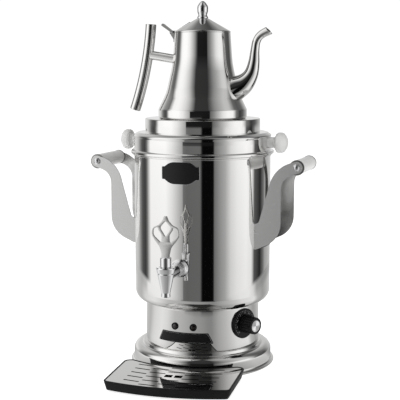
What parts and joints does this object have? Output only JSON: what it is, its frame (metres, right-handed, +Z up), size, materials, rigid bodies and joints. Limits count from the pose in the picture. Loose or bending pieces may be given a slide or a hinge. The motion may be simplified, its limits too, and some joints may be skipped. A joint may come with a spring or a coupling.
{
  "type": "electric tea urn",
  "caption": "Tall stainless electric water urn on a flared foot, with a front tap and drip tray, side carrying handles, and a bell-shaped teapot that rests on its lid.",
  "frame": {"origin": "on the urn's upright axis, at the level of the surface that it stands on", "axes": "+Z up, -Y to the front, where the tap and the drip tray are, +X to the side where the teapot's spout and the thermostat knob are"},
  "size_m": [0.3746, 0.36, 0.615],
  "materials": {
    "steel_mirror": "mirror-polished stainless steel",
    "steel_satin": "satin sheet steel",
    "steel_inner": "plain steel",
    "zinc": "zinc-plated steel",
    "chrome": "bright chrome plating",
    "white_plastic": "smooth glossy white",
    "black_plastic": "glossy black",
    "black_matte": "fine-textured black",
    "silver_insert": "spun face",
    "lamp_red": "tinted clear plastic, unlit",
    "rubber": "matte",
    "silicone": "matte silicone",
    "brass": "machined",
    "copper": "drawn copper",
    "ceramic": "glazed ceramic"
  },
  "bodies": {
    "urn": {"foot_shell": "steel_mirror", "base_plate": "zinc", "case_screws": "zinc", "rubber_feet": "rubber", "control_housing": "steel_mirror", "lamp_bezels": "black_plastic", "lamp_lenses": "lamp_red", "label_plate": "black_plastic", "dial_plate": "black_plastic", "thermostat_body": "ceramic", "thermostat_bracket": "zinc", "bracket_screws": "zinc", "cord_gland": "black_matte", "gland_nut": "black_matte", "tank_shell": "steel_mirror", "tank_stud_nuts": "zinc", "heating_element": "steel_inner", "element_gaskets": "silicone", "element_nuts": "brass", "capillary_and_bulb": "copper", "bulb_clip": "zinc", "thermal_cutout": "ceramic", "terminal_block": "ceramic", "handle_bracket_right": "steel_satin", "handle_bracket_left": "steel_satin", "grip_right": "white_plastic", "grip_left": "white_plastic", "grip_rods": "zinc", "grip_dome_nuts": "chrome", "tap_body": "chrome", "tap_bonnet": "chrome", "tap_escutcheon": "chrome", "tap_nut": "chrome", "tap_gaskets": "silicone", "tap_lock_nut": "brass"},
    "tap_valve": {"tap_plug": "brass", "tap_collar": "chrome", "tap_key": "chrome", "tap_key_pin": "chrome"},
    "control_knob": {"thermostat_knob": "black_matte", "knob_insert": "silver_insert", "thermostat_shaft": "zinc"},
    "urn_lid": {"lid_ring": "steel_mirror", "seat_ring": "steel_mirror", "lid_knob_right": "white_plastic", "lid_knob_left": "white_plastic", "lid_knob_screws": "zinc"},
    "teapot": {"teapot_body": "steel_mirror", "teapot_base": "steel_mirror", "teapot_spout": "steel_mirror", "teapot_handle": "steel_mirror", "handle_strut": "steel_mirror", "hinge_bracket": "steel_mirror", "hinge_pin": "chrome"},
    "pot_lid": {"teapot_lid": "steel_mirror", "lid_strap": "steel_mirror", "finial": "chrome"},
    "tray": {"drip_tray": "black_plastic", "tray_pads": "rubber"},
    "tray_grille": {"grille": "steel_mirror"}
  },
  "joints": [
    {"name": "tap_turn", "type": "hinge", "parent": "urn", "child": "tap_valve", "pos_m": [0, -0.181, 0.182], "axis": [0, 0, 1], "range_deg": [0, 90]},
    {"name": "thermostat_turn", "type": "hinge", "parent": "urn", "child": "control_knob", "pos_m": [0, 0, 0.08], "axis": [0.8949, -0.4462, 0], "range_deg": [0, 270]},
    {"name": "urn_lid_lift", "type": "slide", "parent": "urn", "child": "urn_lid", "axis": [0, 0, 1], "range_m": [0, 0.12]},
    {"name": "teapot_lift", "type": "slide", "parent": "urn_lid", "child": "teapot", "axis": [0, 0, 1], "range_m": [0, 0.15]},
    {"name": "teapot_lid_hinge", "type": "hinge", "parent": "teapot", "child": "pot_lid", "pos_m": [-0.0534, 0, 0.5634], "axis": [0, -1, 0], "range_deg": [0, 100]},
    {"name": "drip_tray_slide", "type": "slide", "parent": "urn", "child": "tray", "axis": [0, -1, 0], "range_m": [0, 0.12]},
    {"name": "grille_lift", "type": "slide", "parent": "tray", "child": "tray_grille", "axis": [0, 0, 1], "range_m": [0, 0.06]}
  ]
}
